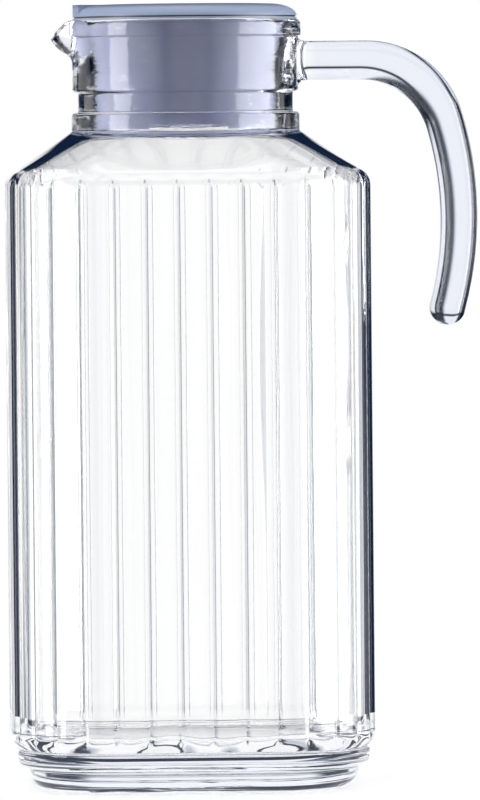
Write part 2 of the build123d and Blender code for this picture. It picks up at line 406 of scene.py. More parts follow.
def round_point(turn, radius, z):
    """A point of the round plan."""
    angle = plan_direction(turn)[2]
    return Vector((radius * math.cos(angle), radius * math.sin(angle), z))


falling = [step / 2 for step in FLUTE_STEPS]
rising = [1 - step / 2 for step in (1.0,) + FLUTE_STEPS[:0:-1]]
TURNS = [flute + part for flute in range(FLUTES) for part in falling + rising]
print("columns round the body:", len(TURNS))

# %% [markdown]
# The glass is one wall with an outside and an inside, so its profile is a walk: up the
# outside, over the rim and down the inside. These are its stops. A solid with its
# inside cut out would need the same sizes, and its triangles would be less even.

# %% Levels and radii of the glass
FOOT_HALF, FOOT_ROUND, FOOT_DRAFT = 52.1, 7.0, 12
BAND_Z, BAND_HALF, BAND_ROUND, BAND_FILLET, BAND_EDGE = 7.6, 55.7, 2.6, 1.2, 0.5
BODY_Z, BODY_ROUND, BODY_SINK = 13.0, 6.0, 0.9
SHOULDER_Z, SHOULDER_ROUND = 193.6, 5.6
COLLAR_Z, COLLAR_R, COLLAR_SOFT = 208.2, 36.4, 0.25
GROOVE_Z, GROOVE_R, GROOVE_ROUND = 214.1, 34.3, 0.8
NECK_Z, NECK_R = 220.6, 36.1
RIM_Z, RIM_R, RIM_TOP, RIM_ROUND = 238.2, 37.0, 243.6, 1.5
PUSH_UP_R, PUSH_UP = 38.0, 2.4
BORE_R, MOUTH_R, MOUTH_DEPTH = 28.9, 32.6, 17.6
CAVITY_HALF, FLOOR_Z, FLOOR_ROUND = 53.3, 15.0, 8.0
CAVITY_SHOULDER_ROUND, SHOULDER_WALL = 3.8, 3.1
SLOPE = (COLLAR_Z - SHOULDER_Z) / (BODY_HALF - COLLAR_R)
SLOPE_ANGLE = math.atan(SLOPE)
UNDER = SHOULDER_WALL * math.hypot(1, SLOPE)
CAVITY_Z = SHOULDER_Z + (BODY_HALF - CAVITY_HALF) * SLOPE - UNDER
BORE_Z = SHOULDER_Z + (BODY_HALF - BORE_R) * SLOPE - UNDER
print("inside from", FLOOR_Z, "to", round(CAVITY_Z, 1), "mm, bore from", round(BORE_Z, 1), "mm")

# %% [markdown]
# The beak was pulled out of the soft rim with a tool. It could be sculpted by hand, but
# a rule keeps it smooth: it is a round-nosed cone pushed out of the neck, and its
# channel is the same cone with a smaller nose. Both are measured along a level line
# from the jug's axis, and blended with the neck by a soft maximum, as hot glass blends.

# %% Beak: reach of the cone
NOSE_X, NOSE_Z, NOSE_R = 34.5, 241.5, 9.1
CHANNEL_R = 7.1
CONE = math.radians(36)
BEAK_HALF = math.radians(40)
BLEND = 1.4
NOSE_START, PAST_NOSE = 0.5 * NOSE_X, 0.01
HALVINGS = 40


def in_nose(along, across, drop, nose):
    """True inside the round-nosed cone, measured from the nose's axis."""
    if along > NOSE_X + nose * math.sin(CONE):
        return (along - NOSE_X) ** 2 + across**2 + drop**2 < nose**2
    return math.hypot(across, drop) < (nose + (NOSE_X - along) * math.sin(CONE)) / math.cos(CONE)


def last_inside(low, high, inside):
    """The last place between two that a test still holds for, found by halving."""
    for _ in range(HALVINGS):
        middle = (low + high) / 2
        if inside(middle):
            low = middle
        else:
            high = middle
    return low


def nose_reach(angle, z, nose):
    """How far the cone reaches from the jug's axis in one direction, or 0 if it misses."""
    away = angle % (2 * math.pi) - math.pi
    if abs(away) > BEAK_HALF:
        return 0.0
    drop = min(z, NOSE_Z) - NOSE_Z

    def inside(reach):
        return in_nose(reach * math.cos(away), reach * math.sin(away), drop, nose)

    if not inside(NOSE_START):
        return 0.0
    return last_inside(NOSE_START, NOSE_X + nose + PAST_NOSE, inside)


def beak_radius(turn, radius, z, nose):
    """Radius of the neck or bore with the beak or its channel blended in."""
    return soft_max(radius, nose_reach(plan_direction(turn)[2], z, nose), BLEND)


print("nose of the beak at", NOSE_X + NOSE_R, "mm from the axis")

# %% [markdown]
# The lip slopes down to the tip of the beak, so that the last drop runs back. A slanted
# cut through the finished neck would leave a sharp edge, so the rings of the rim sink
# to that slope instead, column by column, and the edge stays round.

# %% Beak: slope of the lip
LIP_SLOPE = math.tan(math.radians(42))
BEAK_LOW_Z = 225.0
LIP_SHARE = 0.36


def lip_level(turn, radius, nose):
    """Height of the lip on one column, on the outside or inside of the glass."""
    facing = -math.cos(plan_direction(turn)[2])

    def slope_level(z):
        return RIM_TOP - (beak_radius(turn, radius, z, nose) * facing - RIM_R) * LIP_SLOPE

    if slope_level(RIM_TOP) > RIM_TOP:
        return RIM_TOP
    return last_inside(BEAK_LOW_Z, RIM_TOP, lambda z: z < slope_level(z))


LIPS = {}
for turn in TURNS:
    outer, inner = lip_level(turn, RIM_R, NOSE_R), lip_level(turn, MOUTH_R, CHANNEL_R)
    outer_r = beak_radius(turn, RIM_R, outer, NOSE_R)
    inner_r = beak_radius(turn, MOUTH_R, inner, CHANNEL_R)
    LIPS[turn] = (outer, inner, min(RIM_ROUND, LIP_SHARE * (outer_r - inner_r)))
print("lowest lip in mm:", round(min(outer for outer, inner, edge in LIPS.values()), 1))

# %% [markdown]
# With the lip known, each stop of the neck, rim and mouth can be put in place. The round
# of the rim is an arc on its outer edge and a smaller one on its inner edge.

# %% Points of the neck and rim
INNER_EDGE = 0.5


def sunk(z, lip, top):
    """Move a level between the foot of the beak and a rim at top down to a lower lip."""
    if z <= BEAK_LOW_Z:
        return z
    return BEAK_LOW_Z + (z - BEAK_LOW_Z) * (lip - BEAK_LOW_Z) / (top - BEAK_LOW_Z)


def outer_neck_point(turn, radius, z):
    """A point of the outside of the neck or rim, below the round of the rim."""
    outer, _, edge = LIPS[turn]
    level = sunk(z, outer - edge, RIM_TOP - RIM_ROUND)
    return round_point(turn, beak_radius(turn, radius, level, NOSE_R), level)


def outer_lip_point(turn, degrees):
    """A point of the round outer edge of the rim."""
    outer, _, edge = LIPS[turn]
    wall_r = beak_radius(turn, RIM_R, outer - edge, NOSE_R)
    a = math.radians(degrees)
    return round_point(turn, wall_r - edge + edge * math.cos(a), outer - edge + edge * math.sin(a))


def inner_lip_point(turn, degrees):
    """A point of the round inner edge of the rim."""
    _, inner, edge = LIPS[turn]
    small = INNER_EDGE * edge
    wall_r = beak_radius(turn, MOUTH_R, inner - small, CHANNEL_R)
    a = math.radians(degrees)
    return round_point(turn, wall_r + small - small * math.cos(a), inner - small + small * math.sin(a))


def inner_neck_point(turn, z):
    """A point of the tapered mouth or the bore, below the round of the rim."""
    _, inner, edge = LIPS[turn]
    level = sunk(z, inner - INNER_EDGE * edge, RIM_TOP - INNER_EDGE * RIM_ROUND)
    share = (level - (RIM_TOP - MOUTH_DEPTH)) / MOUTH_DEPTH
    radius = BORE_R + (MOUTH_R - BORE_R) * min(max(share, 0), 1)
    return round_point(turn, beak_radius(turn, radius, level, CHANNEL_R), level)


tip = outer_neck_point(FLUTES / 2, RIM_R, RIM_TOP - RIM_ROUND)
print("tip of the beak in mm:", [round(length, 1) for length in tip])

# %% [markdown]
# Now the rings are made. A profile could be spun, but a spin is round and this body is
# square, so a ring of edges is extruded and its new vertices are put in place, again
# and again. The vertices carry their turn in a layer, and extruding copies it. A wall
# gets a ring close to each of its ends, which holds the shading of a round edge off it.

# %% Rings: how they grow
OUTSIDE, HANDLE_ROWS, INSIDE = range(3)
HOLD, WALL_HOLD = 0.6, 1.0
glass = bmesh.new()
turn_layer = glass.verts.layers.float.new("turn")
zone_layer = glass.verts.layers.int.new("zone")
first = bmesh.ops.create_circle(glass, segments=len(TURNS), radius=1.0)["verts"]
for vertex, turn in zip(first, TURNS):
    vertex[turn_layer] = turn
# A layer keeps fewer digits, so a turn that is read back is looked up by its first four.
TURN_OF = {round(turn, 4): turn for turn in TURNS}


def put(vertex, ring, zone):
    """Put a vertex on a ring, which is a function of its turn."""
    vertex.co = ring(TURN_OF[round(vertex[turn_layer], 4)])
    vertex[zone_layer] = zone


def grow(edges, place):
    """Extrude a ring of edges, let place move each new vertex, and give the new ring."""
    made = bmesh.ops.extrude_edge_only(glass, edges=edges)["geom"]
    fresh = {item for item in made if isinstance(item, bmesh.types.BMVert)}
    for vertex in fresh:
        place(vertex)
    return [
        item
        for item in made
        if isinstance(item, bmesh.types.BMEdge) and all(v in fresh for v in item.verts)
    ]


def stack(edges, rings, zone=OUTSIDE):
    """Grow ring after ring from an open ring of edges, and give the last one."""
    for ring in rings:
        edges = grow(edges, lambda vertex: put(vertex, ring, zone))
    return edges


print("vertices in a ring:", len(first))

# %% [markdown]
# Three kinds of ring serve the whole jug: round ones, square ones, and those of the
# shoulder that lie between a square and a circle. Round edges are arcs of the profile.

# %% Rings: kinds
SAG_START = 0.65


def rounds(*stops):
    """Rings of the round plan, as (radius, level) stops."""
    return [lambda turn, r=r, z=z: round_point(turn, r, z) for r, z in stops]


def squares(*stops, fluted=False):
    """Rings of the square plan, as (half width, level) stops."""
    return [lambda turn, h=h, z=z: square_point(turn, h, z, fluted) for h, z in stops]


def lofts(bottom_half, bottom_z, top_r, top_z, shares, sag=0.0):
    """Rings between a square below and a circle above, which may sag towards the circle."""

    def loft_point(turn, share):
        drop = sag * max(0.0, (share - SAG_START) / (1 - SAG_START)) ** 2
        below = square_point(turn, bottom_half, bottom_z, True)
        return below.lerp(round_point(turn, top_r, top_z), share) - Vector((0, 0, drop))

    return [lambda turn, share=share: loft_point(turn, share) for share in shares]


def arc(centre, radius, start, end, steps):
    """Points of an arc in the profile, from one angle in degrees to another."""
    angles = [math.radians(start + (end - start) * i / steps) for i in range(steps + 1)]
    return [(centre[0] + radius * math.cos(a), centre[1] + radius * math.sin(a)) for a in angles]


print("the inner shoulder sags over the last", round(1 - SAG_START, 2), "of its way")

# %% [markdown]
# Under the jug is a shallow dome, so that it stands on a ring and does not rock. Round it
# come the tapered foot and the plain band, with the rounds that pressed glass needs to
# leave its mould.

# %% Rings: base, foot and band
DOME_STOPS = (2, 12, 22, 31, 37)
STAND_HOLD, BAND_HOLD = 0.8, 0.4
dome_r = (PUSH_UP_R**2 + PUSH_UP**2) / (2 * PUSH_UP)
dome = [(r, PUSH_UP - dome_r + math.sqrt(dome_r**2 - r**2)) for r in DOME_STOPS]
for vertex in first:
    put(vertex, rounds(dome[0])[0], OUTSIDE)
foot_corner = (FOOT_HALF - FOOT_ROUND, FOOT_ROUND)
fillet_corner = (FOOT_HALF + BAND_FILLET, BAND_Z - BAND_FILLET)
band_corner = (BAND_HALF - BAND_ROUND, BAND_Z + BAND_ROUND)
band_edge = (BAND_HALF - BAND_EDGE, BODY_Z - BAND_EDGE)
walk = rounds(*dome[1:], (PUSH_UP_R, 0.0), (PUSH_UP_R + STAND_HOLD, 0.0))
walk += squares((foot_corner[0] - HOLD, 0.0), *arc(foot_corner, FOOT_ROUND, -90, -FOOT_DRAFT, 8))
walk += squares(*arc(fillet_corner, BAND_FILLET, 180, 100, 6))
walk += squares(*arc(band_corner, BAND_ROUND, -80, 0, 5), (BAND_HALF, band_edge[1] - BAND_HOLD))
walk += squares(*arc(band_edge, BAND_EDGE, 0, 90, 3))
loop = stack(glass.edges[:], walk)
print("rings of the base, foot and band:", len(walk))

# %% [markdown]
# The fluted wall goes straight up. At its top the square rounds over into the shoulder,
# where the flutes fade out as the rings turn from a square into the circle of the collar.

# %% Rings: body and shoulder
WALL_STEPS = 8
SHOULDER_SHARES = (0.06, 0.25, 0.5, 0.75, 0.93, 0.985)
OVER_EDGE = 90 - math.degrees(SLOPE_ANGLE)
EDGE_TANGENT = math.tan((RIGHT_ANGLE - SLOPE_ANGLE) / 2)
body_corner = (BODY_HALF - BODY_ROUND, BODY_Z - BODY_SINK + BODY_ROUND)
body_foot = math.degrees(math.asin((BODY_ROUND - BODY_SINK) / BODY_ROUND))
wall_start = body_corner[1]
wall_end = SHOULDER_Z - SHOULDER_ROUND * EDGE_TANGENT
heights = [wall_start + (wall_end - wall_start) * i / WALL_STEPS for i in range(1, WALL_STEPS)]
heights = [wall_start + WALL_HOLD, *heights, wall_end - WALL_HOLD]
shoulder_edge = arc((BODY_HALF - SHOULDER_ROUND, wall_end), SHOULDER_ROUND, 0, OVER_EDGE, 7)
walk = squares(*arc(body_corner, BODY_ROUND, -body_foot, 0, 9), fluted=True)
walk += squares(*[(BODY_HALF, z) for z in heights], fluted=True)
walk += squares(*shoulder_edge, fluted=True)
walk += lofts(*shoulder_edge[-1], COLLAR_R, COLLAR_Z, SHOULDER_SHARES)
loop = stack(loop, walk)
print("rings of the body and shoulder:", len(walk))

# %% [markdown]
# The neck has a collar below, a turned groove, and a plain upper part that the handle is
# pressed onto. The rows of that part are marked, because the handle opens them later.

# %% Rings: collar, groove and neck
HANDLE_LOW, HANDLE_HIGH, HANDLE_STEPS = 222.3, 237.7, 16
inner_r, outer_r = GROOVE_R + GROOVE_ROUND, COLLAR_R - GROOVE_ROUND
walk = rounds((COLLAR_R, COLLAR_Z + COLLAR_SOFT), (COLLAR_R, COLLAR_Z + WALL_HOLD))
walk += rounds((COLLAR_R, GROOVE_Z - GROOVE_ROUND - HOLD))
walk += rounds(*arc((outer_r, GROOVE_Z - GROOVE_ROUND), GROOVE_ROUND, 0, 90, 4))
walk += rounds(*arc((inner_r, GROOVE_Z + GROOVE_ROUND), GROOVE_ROUND, 270, 180, 4))
walk += rounds((GROOVE_R, GROOVE_Z + GROOVE_ROUND + HOLD), (GROOVE_R, NECK_Z - GROOVE_ROUND - HOLD))
walk += rounds(*arc((inner_r, NECK_Z - GROOVE_ROUND), GROOVE_ROUND, 180, 90, 4))
walk += rounds(*arc((NECK_R - GROOVE_ROUND, NECK_Z + GROOVE_ROUND), GROOVE_ROUND, -90, 0, 4))
loop = stack(loop, walk)
row_step = (HANDLE_HIGH - HANDLE_LOW) / HANDLE_STEPS
rows = [
    lambda turn, z=HANDLE_LOW + row_step * i: outer_neck_point(turn, NECK_R, z)
    for i in range(HANDLE_STEPS + 1)
]
loop = stack(loop, rows, HANDLE_ROWS)
print("rings of the neck:", len(walk) + len(rows))

# %% [markdown]
# The rim stands a little proud of the neck, by a small step with soft corners. The walk
# goes over its round top and down the tapered mouth into the bore. The rows of the mouth
# stand close together, because the beak's channel curves there.

# %% Rings: rim, mouth and bore
RIM_STOPS = (
    (NECK_R, RIM_Z - 0.2),
    (NECK_R + 0.25, RIM_Z + 0.02),
    (RIM_R - 0.25, RIM_Z + 0.1),
    (RIM_R - 0.04, RIM_Z + 0.3),
    (RIM_R, RIM_Z + 0.7),
    (RIM_R, RIM_Z + 1.8),
    (RIM_R, RIM_Z + 3.0),
    (RIM_R, RIM_Z + 3.6),
)
LIP_SHARES = (0.25, 0.75)
MOUTH_ROW, MOUTH_ROWS = 1.5, 8
MOUTH_LEVELS = [242.3, 241.6, 240.6, 239.4]
MOUTH_LEVELS += [238 - MOUTH_ROW * i for i in range(MOUTH_ROWS)]
MOUTH_LEVELS += [226.6, 226, 225.4, 224]


def lip_top_point(turn, share):
    """A point of the flat top of the rim, between its two round edges."""
    return outer_lip_point(turn, 90).lerp(inner_lip_point(turn, 90), share)


walk = [lambda turn, r=r, z=z: outer_neck_point(turn, r, z) for r, z in RIM_STOPS]
walk += [lambda turn, a=a: outer_lip_point(turn, a) for a in (0, 18, 36, 54, 72, 90)]
walk += [lambda turn, share=share: lip_top_point(turn, share) for share in LIP_SHARES]
walk += [lambda turn, a=a: inner_lip_point(turn, a) for a in (90, 60, 30, 0)]
walk += [lambda turn, z=z: inner_neck_point(turn, z) for z in MOUTH_LEVELS]
loop = stack(loop, walk)
print("rings of the rim and mouth:", len(walk))

# %% [markdown]
# Inside, the shoulder and the wall follow the outside, without flutes. An even wall would
# be simpler, but blown glass is thick under the neck, so the inner shoulder sags there.

# %% Rings: inner shoulder and wall
SAG = 2.8
INNER_SHARES = (0.985, 0.94, 0.88, 0.82, 0.76, 0.7, 0.62, 0.4, 0.2, 0.06)
INNER_STEPS = 12
BORE_TOP, BORE_HOLD, BORE_EDGE = 220.0, 2.0, 0.5
bore_end = BORE_Z - SAG
inner_end = CAVITY_Z - CAVITY_SHOULDER_ROUND * EDGE_TANGENT
inner_centre = (CAVITY_HALF - CAVITY_SHOULDER_ROUND, inner_end)
inner_edge = arc(inner_centre, CAVITY_SHOULDER_ROUND, 0, OVER_EDGE, 6)
floor_edge = FLOOR_Z + FLOOR_ROUND
walk = rounds((BORE_R, BORE_TOP), (BORE_R, bore_end + BORE_HOLD), (BORE_R, bore_end + BORE_EDGE))
walk += lofts(*inner_edge[-1], BORE_R, BORE_Z, INNER_SHARES, SAG)
walk += squares(*inner_edge[::-1])
loop = stack(loop, walk)
heights = [inner_end - (inner_end - floor_edge) * i / INNER_STEPS for i in range(1, INNER_STEPS)]
heights = [inner_end - WALL_HOLD, *heights, floor_edge + WALL_HOLD]
wall = squares(*[(CAVITY_HALF, z) for z in heights])
loop = stack(loop, wall, INSIDE)
print("rings of the inner shoulder and wall:", len(walk) + len(wall))

# %% [markdown]
# The inside was shaped by air alone, so it is never quite even, and a flat inside would
# look like acrylic. A slow noise moves the wall by about a tenth of a millimetre and the
# thick floor by rather more. Then both ends of the walk are closed.

# %% Rings: floor, waves and ends
FLOOR_SQUARES, FLOOR_ROUNDS = (CAVITY_HALF - FLOOR_ROUND - 2.5, 38.0, 31.0), (24.0, 14.0, 4.0)
INSIDE_WAVE, WAVE_WIDE, WAVE_HIGH = 0.12, 21, 70
FLOOR_WAVE, FLOOR_WAVE_WIDE, FLOOR_WAVE_SLICE, FLOOR_FADE = 0.8, 13, 5, 12
walk = squares(*arc((CAVITY_HALF - FLOOR_ROUND, floor_edge), FLOOR_ROUND, 0, -90, 8))
walk += squares(*[(half, FLOOR_Z) for half in FLOOR_SQUARES])
walk += rounds(*[(radius, FLOOR_Z) for radius in FLOOR_ROUNDS])
loop = stack(loop, walk, INSIDE)
for vertex in glass.verts:
    if vertex[zone_layer] == INSIDE:
        x, y, z = vertex.co
        shift = noise.noise(Vector((x / WAVE_WIDE, y / WAVE_WIDE, z / WAVE_HIGH)))
        vertex.co += INSIDE_WAVE * shift * Vector((x, y, 0)).normalized()
        x, y, z = vertex.co
        rise = noise.noise(Vector((x / FLOOR_WAVE_WIDE, y / FLOOR_WAVE_WIDE, FLOOR_WAVE_SLICE)))
        vertex.co.z += FLOOR_WAVE * max(0.0, 1 - (z - FLOOR_Z) / FLOOR_FADE) * rise
bmesh.ops.contextual_create(glass, geom=loop)
bmesh.ops.contextual_create(glass, geom=[e for e in glass.edges if e.is_boundary])
print("jug faces:", len(glass.faces), "open edges:", sum(e.is_boundary for e in glass.edges))

# %% [markdown]
# The handle is a gob of glass pressed onto the neck and drawn into a hook. A swept tube
# stuck into the neck would leave a wall inside the glass, where light would break. So a
# patch of the neck is opened and its border is extruded along the hook. The outer and
# the inner side of the hook are each a straight run and two arcs, and every section
# stands between them.

# %% Handle: line and section
HANDLE_TOP, HANDLE_UNDER, HANDLE_DEPTH = 236.5, 224.1, 15.0
OUTER_HOOK = (57.6, HANDLE_TOP, 31.8, 116.3)
INNER_HOOK = (55.6, HANDLE_UNDER, 22.3, 102.9)
BEND_ANGLE, GRIP_ANGLE = math.radians(73.8), math.radians(34.3)
INNER_RISE, INNER_SIDE = 6.0, 6.6
OUTER_RISE, OUTER_SIDE = 3.6, 5.2
FLARE_RUN = 3.0
RUN, BEND, GRIP = range(3)


def hook_point(side, stage, share):
    """A point of one side of the hook, a share of the way along its run, bend or grip."""
    run, z, bend_r, grip_r = side
    if stage == RUN:
        return Vector((NECK_R + FLARE_RUN + (run - NECK_R - FLARE_RUN) * share, 0, z))
    a = BEND_ANGLE * (share if stage == BEND else 1)
    corner = Vector((run + bend_r * math.sin(a), 0, z - bend_r * (1 - math.cos(a))))
    if stage == BEND:
        return corner
    centre = corner - grip_r * Vector((math.sin(BEND_ANGLE), 0, math.cos(BEND_ANGLE)))
    b = BEND_ANGLE + GRIP_ANGLE * share
    return centre + grip_r * Vector((math.sin(b), 0, math.cos(b)))


def section_point(a, b, outer, inner, depth, scale=1.0):
    """A point of the hook's section; a and b run from -1 to 1 across and up it.

    The inner side, which the fingers touch, is rounder than the outer side.
    """
    up = outer - inner
    high = up.length
    rise_r = (INNER_RISE if b < 0 else OUTER_RISE) * scale
    side_r = (INNER_SIDE if b < 0 else OUTER_SIDE) * scale
    rise_r, side_r = min(rise_r, 0.5 * high), min(side_r, 0.5 * depth)
    across, rise = abs(a) * depth / 2, abs(b) * high / 2
    core = Vector((min(across, depth / 2 - side_r), min(rise, high / 2 - rise_r)))
    off = Vector(((across - core.x) / side_r, (rise - core.y) / rise_r))
    off = off.normalized() if off.length > 0 else off
    flat = core + Vector((off.x * side_r, off.y * rise_r))
    middle = (outer + inner) / 2 + up.normalized() * math.copysign(flat.y, b)
    return middle + Vector((0, math.copysign(flat.x, a), 0))


hook_tip = hook_point(OUTER_HOOK, GRIP, 1)
print("end of the hook in mm:", [round(length, 1) for length in hook_tip])

# %% [markdown]
# The patch is a stretch of the marked rows, as wide as three flutes. Each vertex of its
# border notes how far across and up the patch it is, and extruding copies that too.

# %% Handle: opening in the neck
PATCH_TURN, NEAR = 1.5, 0.001


def in_patch(vertex):
    """True for a vertex of the marked rows that is close to the handle's side."""
    from_handle = (vertex[turn_layer] + FLUTES / 2) % FLUTES - FLUTES / 2
    return vertex[zone_layer] == HANDLE_ROWS and abs(from_handle) < PATCH_TURN + NEAR


patch = [face for face in glass.faces if all(in_patch(v) for v in face.verts)]
corners = [v.co.copy() for face in patch for v in face.verts]
wide = max(corner.y for corner in corners)
patch_low = min(corner.z for corner in corners)
patch_high = max(corner.z for corner in corners)
bmesh.ops.delete(glass, geom=patch, context="FACES")
across_layer = glass.verts.layers.float.new("across")
up_layer = glass.verts.layers.float.new("up")
border = [e for e in glass.edges if e.is_boundary]
on_wall = {}
for vertex in {v for e in border for v in e.verts}:
    vertex[across_layer] = vertex.co.y / wide
    vertex[up_layer] = 2 * (vertex.co.z - patch_low) / (patch_high - patch_low) - 1
    on_wall[(round(vertex[across_layer], 4), round(vertex[up_layer], 4))] = vertex.co.copy()
print("edges round the opening:", len(border))

# %% [markdown]
# Hot glass flows where it joins, so the border first flares from the wall of the neck
# into the hook's section on a quarter of a circle. The end of the hook is a half round,
# whose sections shrink as a circle does.

# %% Handle: places of the sections
END_ROUND = 5.5
GRIP_END = 1 - END_ROUND / (GRIP_ANGLE * OUTER_HOOK[3])


def flare_place(share):
    """The border turning from the wall of the neck into the section of the hook."""
    outer, inner = hook_point(OUTER_HOOK, RUN, 0), hook_point(INNER_HOOK, RUN, 0)
    inwards = math.sin(RIGHT_ANGLE * share)
    along = 1 - math.cos(RIGHT_ANGLE * share)

    def place(a, b):
        start = on_wall[(round(a, 4), round(b, 4))]
        goal = section_point(a, b, outer, inner, HANDLE_DEPTH)
        mixed = start.lerp(goal, inwards)
        return Vector((start.x + (goal.x - start.x) * along, mixed.y, mixed.z))

    return place


def hook_place(stage, share):
    """One section along the hook."""
    outer, inner = hook_point(OUTER_HOOK, stage, share), hook_point(INNER_HOOK, stage, share)
    return lambda a, b: section_point(a, b, outer, inner, HANDLE_DEPTH)


def end_place(past):
    """A section of the rounded end, past its start by a share of its radius."""
    outer, inner = hook_point(OUTER_HOOK, GRIP, GRIP_END), hook_point(INNER_HOOK, GRIP, GRIP_END)
    ahead = Vector((outer - inner)).cross(Vector((0, 1, 0))).normalized()
    ahead = ahead if ahead.z < 0 else -ahead
    thin = math.sqrt(1 - past**2)
    middle = (outer + inner) / 2 + ahead * END_ROUND * past
    half = (outer - inner) / 2 * thin
    depth = HANDLE_DEPTH - 2 * END_ROUND * (1 - thin)
    return lambda a, b: section_point(a, b, middle + half, middle - half, depth, thin)


print("the round end starts at", round(GRIP_END, 3), "of the grip")

# %% [markdown]
# The border is grown along the hook with the same function as the rings. More sections
# stand in the bend and the grip than on the straight run, and the end is closed by a cap.

# %% Handle: growing the hook
FLARE_STEPS, BEND_STEPS, GRIP_STEPS, END_STEPS = 5, 16, 14, 9
RUN_SHARES = (0.04, 0.3, 0.6, 0.97)


def put_section(vertex, place):
    """Put a vertex of the handle's border on a section."""
    vertex.co = place(vertex[across_layer], vertex[up_layer])


hook = [flare_place(i / FLARE_STEPS) for i in range(1, FLARE_STEPS + 1)]
hook += [hook_place(RUN, share) for share in RUN_SHARES]
hook += [hook_place(BEND, i / BEND_STEPS) for i in range(BEND_STEPS + 1)]
hook += [hook_place(GRIP, GRIP_END * i / GRIP_STEPS) for i in range(1, GRIP_STEPS + 1)]
hook += [end_place(math.sin(RIGHT_ANGLE * i / END_STEPS)) for i in range(1, END_STEPS)]
for section in hook:
    border = grow(border, lambda vertex: put_section(vertex, section))
bmesh.ops.contextual_create(glass, geom=border)
bmesh.ops.recalc_face_normals(glass, faces=glass.faces)
print("sections:", len(hook), "open edges:", sum(e.is_boundary for e in glass.edges))

# %% [markdown]
# The jug and its handle are one piece of glass now, as they are once the handle is fused
# on. The bmesh becomes an object in metres, which stands for both CAD nodes and rides on
# the jug.

# %% Finished glass
def new_piece(name, shape, material):
    """Make an object from a bmesh whose units are millimetres, shaded smooth."""
    bmesh.ops.scale(shape, vec=(MM, MM, MM), verts=shape.verts)
    mesh = bpy.data.meshes.new(name)
    shape.to_mesh(mesh)
    shape.free()
    mesh.shade_smooth()
    mesh.materials.append(material)
    piece = bpy.data.objects.new(name, mesh)
    scene.collection.objects.link(piece)
    print(name, "faces:", len(mesh.polygons))
    return piece


pitcher_glass = new_piece("pitcher_glass", glass, glass_finish)
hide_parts("glass_jug", "handle")
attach(pitcher_glass, "jug")

# %% [markdown]
# The lid is one moulding: a domed crown, a flange on the rim, a tapered plug and a deep
# skirt. It could be lofted ring by ring like the jug, but all of this is round, so its
# profile is spun about the axis, as a pot is turned. A fine groove parts the crown from
# the flange.

# %% Lid: turned form
LID_R, LID_TOP, CROWN_Z, CROWN_WIDE = 35.7, 248.5, 244.7, 8.2
PLUG_R, PLUG_TOP_R, SKIRT_Z, LID_WALL, DECK = 28.5, 32.2, 208.5, 1.8, 2.2
RING_GROOVE = 0.5
LID_STEPS, DOUBLES = 128, 0.001
crown_high, taper_z = LID_TOP - CROWN_Z, RIM_TOP - MOUTH_DEPTH
profile = [(0, LID_TOP)]
for degrees in range(0, 91, 9):
    a = math.radians(degrees)
    profile += [(LID_R - CROWN_WIDE + CROWN_WIDE * math.sin(a), CROWN_Z + crown_high * math.cos(a))]
profile += [(LID_R - RING_GROOVE, CROWN_Z), (LID_R - RING_GROOVE, CROWN_Z - RING_GROOVE)]
profile += [(LID_R, CROWN_Z - RING_GROOVE), (LID_R, RIM_TOP), (PLUG_TOP_R, RIM_TOP)]
profile += [(PLUG_R, taper_z), (PLUG_R, SKIRT_Z), (PLUG_R - LID_WALL, SKIRT_Z)]
profile += [(PLUG_R - LID_WALL, taper_z), (PLUG_TOP_R - LID_WALL, RIM_TOP)]
profile += [(PLUG_TOP_R - LID_WALL, LID_TOP - DECK), (0, LID_TOP - DECK)]
turned = bmesh.new()
points = [turned.verts.new((r, 0, z)) for r, z in profile]
for one, two in zip(points, points[1:]):
    turned.edges.new((one, two))
bmesh.ops.spin(
    turned,
    geom=turned.verts[:] + turned.edges[:],
    cent=(0, 0, 0),
    axis=(0, 0, 1),
    dvec=(0, 0, 0),
    angle=2 * math.pi,
    steps=LID_STEPS,
    use_merge=True,
)
bmesh.ops.remove_doubles(turned, verts=turned.verts, dist=DOUBLES)
bmesh.ops.recalc_face_normals(turned, faces=turned.faces)
plug_lid = new_piece("plug_lid", turned, lid_finish)

# %% [markdown]
# A thumb tab over the beak breaks the round of the crown. It is a slice of a full disc,
# cut by three planes and raised to the height of the lid. A boolean adds it, because its
# straight sides run across the spun faces.

# %% Lid: thumb tab
TAB_HALF, TAB_START = math.radians(16), 20


def combine(piece, tool, operation):
    """Add or cut a tool by a boolean and keep the result as plain mesh."""
    step = piece.modifiers.new(operation, "BOOLEAN")
    step.object, step.operation, step.solver = tool, operation, "EXACT"
    bpy.context.view_layer.update()
    done = bpy.data.meshes.new_from_object(piece.evaluated_get(bpy.context.evaluated_depsgraph_get()))
    piece.modifiers.clear()
    piece.data = done
    bpy.data.objects.remove(tool)


def raise_faces(shape, height):
    """Extrude all faces of a flat shape straight up into a block."""
    made = bmesh.ops.extrude_face_region(shape, geom=shape.faces[:])["geom"]
    lifted = [item for item in made if isinstance(item, bmesh.types.BMVert)]
    bmesh.ops.translate(shape, vec=(0, 0, height), verts=lifted)


tab = bmesh.new()
bmesh.ops.create_circle(tab, cap_ends=True, segments=LID_STEPS, radius=LID_R)
for point, facing in (
    ((-TAB_START, 0, 0), (1, 0, 0)),
    ((0, 0, 0), (math.sin(TAB_HALF), math.cos(TAB_HALF), 0)),
    ((0, 0, 0), (math.sin(TAB_HALF), -math.cos(TAB_HALF), 0)),
):
    everything = tab.verts[:] + tab.edges[:] + tab.faces[:]
    bmesh.ops.bisect_plane(tab, geom=everything, plane_co=point, plane_no=facing, clear_outer=True)
bmesh.ops.translate(tab, vec=(0, 0, CROWN_Z), verts=tab.verts)
raise_faces(tab, crown_high)
bmesh.ops.recalc_face_normals(tab, faces=tab.faces)
combine(plug_lid, new_piece("tab", tab, lid_finish), "UNION")

